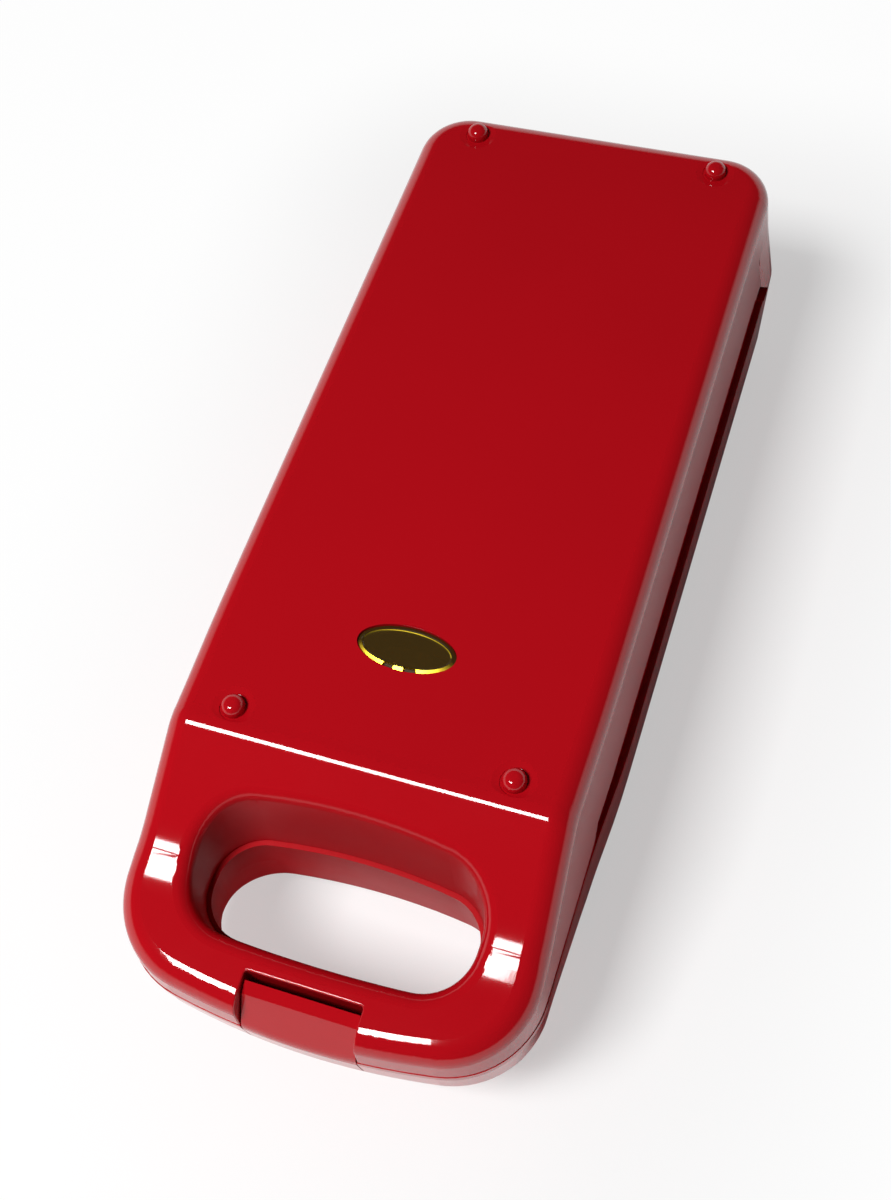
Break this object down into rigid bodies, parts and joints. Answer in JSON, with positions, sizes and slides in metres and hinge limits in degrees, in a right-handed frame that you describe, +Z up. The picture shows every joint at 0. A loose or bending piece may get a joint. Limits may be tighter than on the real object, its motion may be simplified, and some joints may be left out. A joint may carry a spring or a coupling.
{
  "type": "contact grill",
  "caption": "Long clamshell contact grill with a hinged lid, loop handle with a hand hole, rocker latch, facing ribbed plates, indicator lens, rest buttons and rubber feet.",
  "frame": {"origin": "centre of the bounding box at its base, on the counter under the feet", "axes": "+X to the right when facing the handle end, +Y from the handle towards the hinge, +Z up"},
  "size_m": [0.1548, 0.3932, 0.104],
  "materials": {
    "gloss_red": "glossy moulded plastic",
    "frame_plastic": "satin heat-resistant plastic",
    "plate_coating": "dark non-stick coating on cast metal",
    "element_sheath": "annealed sheath",
    "strap_steel": "plated sheet",
    "screw_steel": "plated",
    "shield_sheet": "bright sheet",
    "foot_rubber": "matt",
    "thermostat_can": "drawn can",
    "fuse_sleeve": "woven sleeve",
    "pale_plastic": "satin",
    "pin_steel": "ground bar",
    "lens_amber": "clear tinted plastic",
    "holder_plastic": "satin",
    "lamp_glass": "clear bulb",
    "spring_steel": "drawn wire"
  },
  "bodies": {
    "base": {"base_shell": "gloss_red", "base_trim_frame": "frame_plastic", "lower_grill_plate": "plate_coating", "lower_heating_element": "element_sheath", "lower_element_straps": "strap_steel", "lower_strap_screws": "screw_steel", "lower_heat_shield": "shield_sheet", "base_frame_screws": "screw_steel", "base_feet": "foot_rubber", "thermostat": "thermostat_can", "thermal_fuse": "fuse_sleeve", "terminal_block": "pale_plastic", "cord_grommet": "foot_rubber", "hinge_pins": "pin_steel"},
    "lid": {"lid_shell": "gloss_red", "lid_trim_frame": "frame_plastic", "upper_grill_plate": "plate_coating", "upper_heating_element": "element_sheath", "upper_element_straps": "strap_steel", "upper_strap_screws": "screw_steel", "upper_heat_shield": "shield_sheet", "lid_frame_screws": "screw_steel", "lid_rest_buttons": "gloss_red", "indicator_lens": "lens_amber", "lamp_holder": "holder_plastic", "pilot_lamps": "lamp_glass", "latch_pin": "pin_steel"},
    "latch_rocker": {"latch": "gloss_red", "latch_spring": "spring_steel"}
  },
  "joints": [
    {"name": "lid_hinge", "type": "hinge", "parent": "base", "child": "lid", "pos_m": [0, 0.1906, 0.052], "axis": [-1, 0, 0], "range_deg": [0, 180]},
    {"name": "latch_pivot", "type": "hinge", "parent": "lid", "child": "latch_rocker", "pos_m": [0, -0.1874, 0.059], "axis": [-1, 0, 0], "range_deg": [0, 12], "stiffness_Nm_per_rad": 0.2, "springref_deg": -5.73}
  ]
}
